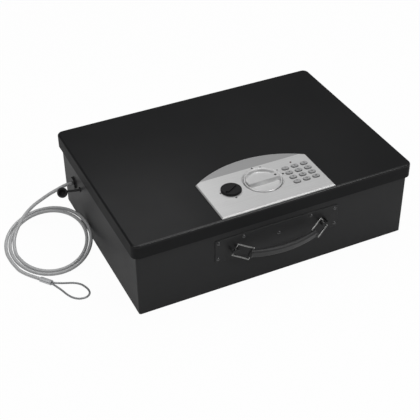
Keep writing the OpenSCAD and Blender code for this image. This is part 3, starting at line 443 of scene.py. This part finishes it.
# ---- Knob
# Moulded and plated in satin silver: a dished disc with a bar across it for the fingers. It is pressed on the
# spindle and turns in a bevelled hole of the plate.
knob_silver = Finish("satin silver plating", Metallic=0.7, Roughness=0.3)
knob_silver.wire(Base_Color=knob_silver.shade(knob_silver.noise(60), (0.70, 0.70, 0.70), (0.78, 0.78, 0.78)),
                 Roughness=knob_silver.between(knob_silver.noise(160), 0.3, 0.7, 0.28, 0.36))
knob_silver.bumps(knob_silver.noise(900), 0.00002, 0.1)
knob_silver.on("knob_dial")

# ---- Key lock's cover
# A black moulded disc with a raised bar. It hides the keyhole of the emergency lock.
cover = Finish("satin black cover", Roughness=0.42, Specular_IOR_Level=0.16)
cover.wire(Base_Color=cover.shade(cover.noise(80), (0.008, 0.008, 0.009), (0.014, 0.014, 0.015)))
cover.bumps(cover.noise(900), 0.00006, 0.5)
cover.on("key_cover")

# ---- Keypad
# Twelve oval keys of metallic grey plastic with dark numbers, over a rubber mat and a board that carries the lamp.
key_grey = Finish("metallic grey key", Metallic=0.5, Roughness=0.35)
KEY_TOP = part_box("key_1")[1].z
# Painted shade: each key's lower sides are coloured dark grey for the shadow in the gap round it, and only its
# crown keeps the light grey.
crown_above_painted_shade = key_grey.between(key_grey.part("Z"), KEY_TOP - 0.0011, KEY_TOP - 0.0003)
key_grey.wire(Base_Color=key_grey.shade(crown_above_painted_shade * (0.85 + 0.15 * key_grey.noise(300)), (0.10, 0.10, 0.103),
                                        (0.50, 0.50, 0.505)))
key_grey.bumps(key_grey.noise(900), 0.00003, 0.4)
key_grey.on(*[f"key_{k}" for k in range(1, 13)])
numbers = Finish("dark numbers", Roughness=0.5)
numbers.wire(Base_Color=numbers.shade(numbers.noise(400), (0.05, 0.05, 0.052), (0.08, 0.08, 0.082)))
NUMBER_HEIGHT = 0.0056
for k, sign in enumerate("123456789*0#"):
    low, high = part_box(f"key_{k + 1}")
    letter = bpy.data.curves.new(f"number_{k + 1}", "FONT")
    letter.body, letter.size, letter.align_x, letter.align_y = sign, NUMBER_HEIGHT, "CENTER", "CENTER"
    letter.extrude = PRINT / 2
    letter.materials.append(numbers.material)
    mark = bpy.data.objects.new(f"number_{k + 1}", letter)
    mark.location = ((low.x + high.x) / 2, (low.y + high.y) / 2, high.z + 0.00005)
    bpy.context.scene.collection.objects.link(mark)
    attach(mark, f"key_{k + 1}")
mat_grey = Finish("grey silicone", Roughness=0.6)
mat_grey.wire(Base_Color=mat_grey.shade(mat_grey.noise(200), (0.17, 0.17, 0.18), (0.22, 0.22, 0.23)))
mat_grey.on("keypad_mat")
board = Finish("green circuit board", Roughness=0.3)
tracks = board.add("ShaderNodeTexBrick", {}, {"Vector": board.place, "Scale": 160.0, "Mortar Size": 0.02,
                                              "Color1": (0.02, 0.12, 0.04, 1), "Color2": (0.03, 0.16, 0.05, 1),
                                              "Mortar": (0.06, 0.25, 0.09, 1)}, "Color")
board.wire(Base_Color=tracks)
board.on("circuit_board")
lens = Finish("smoked red lens", Roughness=0.15)
lens.wire(Base_Color=lens.shade(lens.noise(800), (0.05, 0.012, 0.012), (0.09, 0.02, 0.02)))
lens.on("status_led")

# ---- Lock works
# Natural nylon bushes and a wound coil.
nylon = Finish("natural nylon", Roughness=0.45)
nylon.wire(Base_Color=nylon.shade(nylon.noise(150), (0.72, 0.71, 0.66), (0.80, 0.79, 0.75)))
nylon.on("spindle_bush", "bolt_bushes")
winding = Finish("wound copper under tape", Metallic=0.5, Roughness=0.35)
turns = winding.add("ShaderNodeTexWave", {"bands_direction": "X"}, {"Vector": winding.place, "Scale": 400.0},
                    "Fac")
winding.wire(Base_Color=winding.shade(turns, (0.16, 0.06, 0.02), (0.42, 0.20, 0.08)))
winding.bumps(turns, 0.0002, 0.6)
winding.on("solenoid_coil")

# ---- Batteries
# Four AA cells in plain jackets, in a moulded box with a hinged flap.
box_black = Finish("moulded black box", Roughness=0.5)
box_black.wire(Base_Color=box_black.shade(box_black.noise(60), (0.022, 0.022, 0.024), (0.034, 0.034, 0.036)))
box_black.bumps(box_black.noise(1200), 0.00008, 0.5)
box_black.on("battery_box", "battery_door")
jacket = Finish("plain battery jacket", Metallic=0.4, Roughness=0.3)
jacket_end = jacket.between(jacket.part("Y"), -0.010, -0.009)
jacket.wire(Base_Color=jacket.shade(jacket_end, (0.03, 0.03, 0.033), (0.45, 0.22, 0.05)))
jacket.on("batteries")

# ---- Studio
# A pale floor under a surround that brightens upwards. Three large soft lamps stand at the left,
# above and in front, and two small ones stand close behind the lid, for the sheen on its front half.
floor_mesh = bpy.data.meshes.new("floor")
floor_mesh.from_pydata([(-6, -6, 0), (6, -6, 0), (6, 6, 0), (-6, 6, 0)], [], [(0, 1, 2, 3)])
floor = bpy.data.objects.new("floor", floor_mesh)
bpy.context.scene.collection.objects.link(floor)
floor.location.z = -0.0001
pale = Finish("pale floor", Roughness=0.9)
pale.shader.inputs["Base Color"].default_value = (0.86, 0.86, 0.86, 1)
seen = pale.add("ShaderNodeLightPath", {}, {}, "Is Camera Ray")
glossy = pale.add("ShaderNodeLightPath", {}, {}, "Is Glossy Ray")
white = pale.add("ShaderNodeEmission", {}, {"Color": (1, 1, 1, 1), "Strength": 1.0})
mixed = pale.add("ShaderNodeMixShader", {}, {0: seen.maths("MAXIMUM", seen * 0.97, glossy * 0.3),
                                             1: Val(pale, pale.shader.outputs[0]), 2: white})
pale.material.node_tree.links.new(mixed.socket, pale.nodes["Material Output"].inputs["Surface"])
floor_mesh.materials.append(pale.material)

world = bpy.data.worlds.new("surround")
bpy.context.scene.world = world
world.use_nodes = True
tree = world.node_tree
light_path = tree.nodes.new("ShaderNodeLightPath")
backdrop = tree.nodes.new("ShaderNodeBackground")
backdrop.inputs["Strength"].default_value = 1.0
backdrop.inputs["Color"].default_value = (1, 1, 1, 1)
even = tree.nodes["Background"]
direction = tree.nodes.new("ShaderNodeTexCoord")
height = tree.nodes.new("ShaderNodeSeparateXYZ")
rise = tree.nodes.new("ShaderNodeMapRange")
rise.interpolation_type = "SMOOTHSTEP"
for socket, value in {"From Min": 0.5, "From Max": 0.95, "To Min": 0.16, "To Max": 0.72}.items():
    rise.inputs[socket].default_value = value
tree.links.new(direction.outputs["Generated"], height.inputs[0])
tree.links.new(height.outputs["Z"], rise.inputs["Value"])
even.inputs["Color"].default_value = (1, 1, 1, 1)
tree.links.new(rise.outputs[0], even.inputs["Strength"])
choose = tree.nodes.new("ShaderNodeMixShader")
tree.links.new(light_path.outputs["Is Camera Ray"], choose.inputs[0])
tree.links.new(even.outputs[0], choose.inputs[1])
tree.links.new(backdrop.outputs[0], choose.inputs[2])
tree.links.new(choose.outputs[0], tree.nodes["World Output"].inputs["Surface"])


def softbox(name, at, to, width, height, power):
    light = bpy.data.lights.new(name, "AREA")
    light.shape, light.size, light.size_y, light.energy = "RECTANGLE", width, height, power
    lamp = bpy.data.objects.new(name, light)
    bpy.context.scene.collection.objects.link(lamp)
    lamp.location = at
    lamp.rotation_euler = (Vector(to) - Vector(at)).to_track_quat("-Z", "Y").to_euler()
    lamp.visible_camera = False


softbox("left lamp", (-1.6, -0.6, 1.6), (0, 0, 0.05), 1.0, 1.0, 3.6)
softbox("top lamp", (0.45, 0.3, 2.1), (0, 0, 0.05), 1.3, 0.9, 9)
softbox("front lamp", (0.75, -1.5, 1.4), (0, -0.1, 0.1), 0.8, 0.5, 6.2)
softbox("near left lamp", (-0.04, 0.3, 0.5), (-0.2, -0.14, 0.125), 0.25, 0.2, 0.25)
softbox("near right lamp", (0.31, 0.34, 0.5), (0.1, -0.1, 0.125), 0.3, 0.2, 0.06)

bpy.context.scene.view_settings.view_transform = "Standard"
